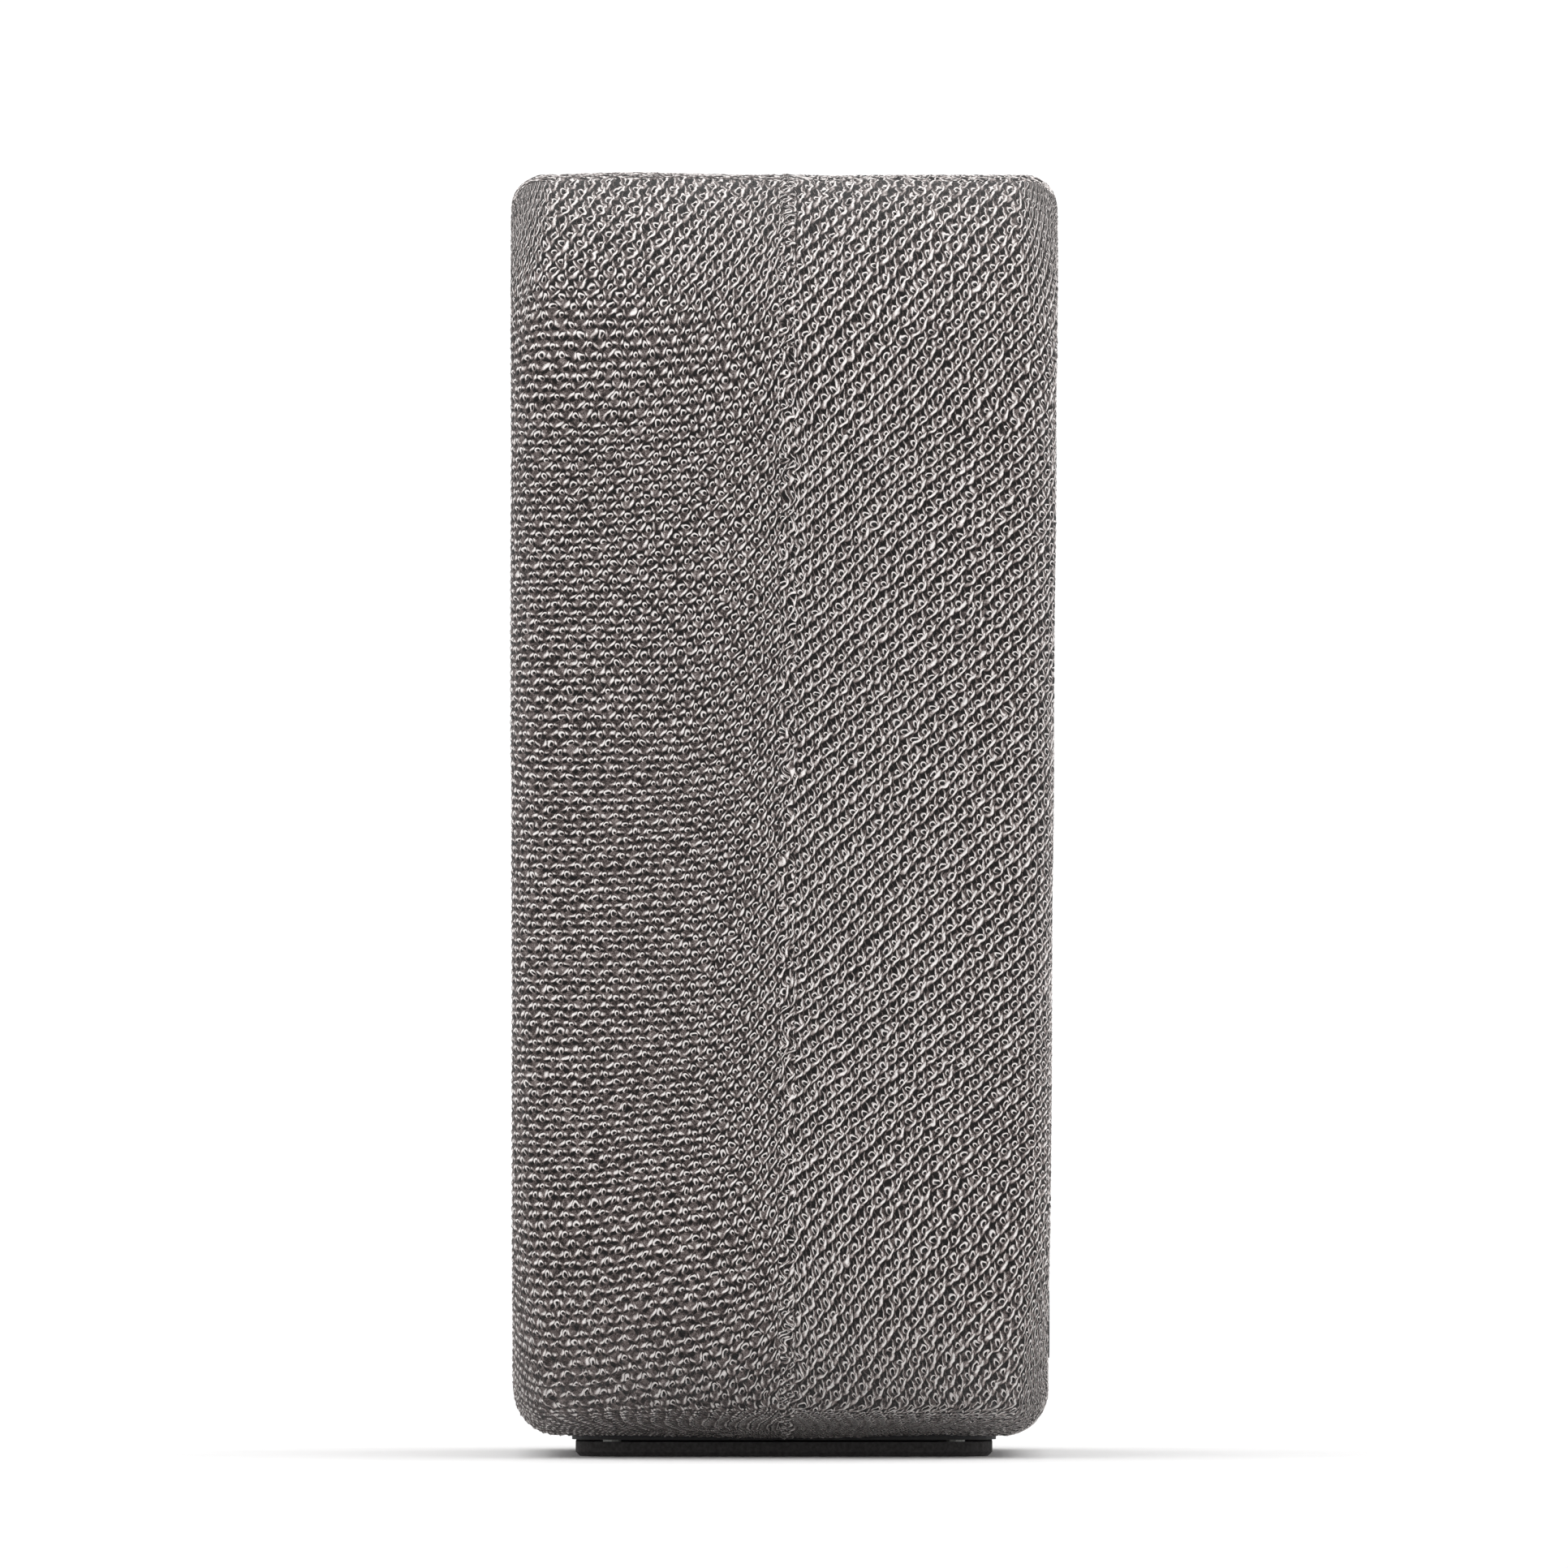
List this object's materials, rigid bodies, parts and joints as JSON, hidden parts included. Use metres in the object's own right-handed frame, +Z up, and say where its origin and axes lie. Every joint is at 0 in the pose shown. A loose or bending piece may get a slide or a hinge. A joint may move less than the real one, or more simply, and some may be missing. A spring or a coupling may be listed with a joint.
{
  "type": "smart speaker",
  "caption": "Upright rounded block in a knitted cover linked along its side band, on a low foot; drivers, electronics, power inlet and microphone switch inside and behind.",
  "frame": {"origin": "on the floor, under the middle of the body's box", "axes": "+Z up, front of the speaker towards -Y, its width along X"},
  "size_m": [0.124, 0.0744, 0.175],
  "materials": {
    "knit": "taupe grey knitted polyester, matte with a soft sheen",
    "seam_yarn": "matching linked yarn",
    "black_plastic": "moulded, fine spark-eroded texture",
    "silicone": "moulded, matte",
    "zinc_screw": "zinc plated",
    "foam": "closed-cell foam",
    "grey_plastic": "moulded, satin",
    "steel": "zinc-plated pressed steel",
    "surround_rubber": "butyl rubber, satin",
    "cone_paper": "coated paper pulp, matte",
    "copper": "enamelled wire",
    "spider_cloth": "resin-treated woven cloth",
    "ferrite": "sintered, matte dark grey",
    "dome_silk": "coated silk",
    "circuit_board": "glass-epoxy with solder mask",
    "tinplate": "tinned steel",
    "aluminium": "mill finish",
    "clear_plastic": "clear moulding",
    "polyimide": "amber film",
    "wire_jacket": "black wire jacket"
  },
  "bodies": {
    "root": {"fabric_cover_front": "knit", "fabric_cover_rear": "knit", "seam_ridge": "seam_yarn", "front_grille": "black_plastic", "rear_housing": "black_plastic", "base_plate": "black_plastic", "front_baffle": "black_plastic", "acoustic_chamber": "black_plastic", "tweeter_faceplate": "black_plastic", "inlet_well": "black_plastic", "dc_jack": "black_plastic", "switch_plate": "black_plastic", "foot_pad": "silicone", "base_screw_front_left": "zinc_screw", "base_screw_front_right": "zinc_screw", "base_screw_rear_left": "zinc_screw", "base_screw_rear_right": "zinc_screw", "frame_screw_1": "zinc_screw", "frame_screw_2": "zinc_screw", "frame_screw_3": "zinc_screw", "frame_screw_4": "zinc_screw", "frame_screw_5": "zinc_screw", "frame_screw_6": "zinc_screw", "woofer_screw_lower_left": "zinc_screw", "woofer_screw_lower_right": "zinc_screw", "woofer_screw_upper_left": "zinc_screw", "woofer_screw_upper_right": "zinc_screw", "chamber_gasket": "foam", "woofer_gasket": "foam", "chamber_terminal": "grey_plastic", "woofer_frame": "steel", "woofer_top_plate": "steel", "woofer_pole_piece": "steel", "tweeter_pole_plate": "steel", "tweeter_magnet": "steel", "tweeter_yoke": "steel", "woofer_surround": "surround_rubber", "woofer_spider": "spider_cloth", "woofer_magnet": "ferrite", "main_board": "circuit_board", "io_board": "circuit_board", "touch_board": "circuit_board", "led_board": "circuit_board", "mic_board_left": "circuit_board", "mic_board_right": "circuit_board", "shield_can": "tinplate", "dc_jack_pin": "tinplate", "mute_switch": "tinplate", "heat_spreader": "aluminium", "light_guide": "clear_plastic", "aerial_left": "polyimide", "aerial_right": "polyimide", "touch_ribbon": "polyimide", "speaker_harness": "wire_jacket"},
    "woofer_diaphragm": {"woofer_cone": "cone_paper", "woofer_dust_cap": "cone_paper", "woofer_voice_coil": "copper"},
    "tweeter_diaphragm": {"tweeter_dome": "dome_silk", "tweeter_voice_coil": "copper"},
    "mute_knob": {"mute_slider": "grey_plastic"}
  },
  "joints": [
    {"name": "woofer_excursion", "type": "slide", "parent": "root", "child": "woofer_diaphragm", "axis": [0, -1, 0], "range_m": [-0.0035, 0.0035], "stiffness_N_per_m": 1000, "deforming": ["woofer_surround", "woofer_spider"]},
    {"name": "tweeter_excursion", "type": "slide", "parent": "root", "child": "tweeter_diaphragm", "axis": [0, -1, 0], "range_m": [-0.0003, 0.0003], "stiffness_N_per_m": 1000},
    {"name": "mute_slide", "type": "slide", "parent": "root", "child": "mute_knob", "axis": [1, 0, 0], "range_m": [0, 0.0025]}
  ]
}
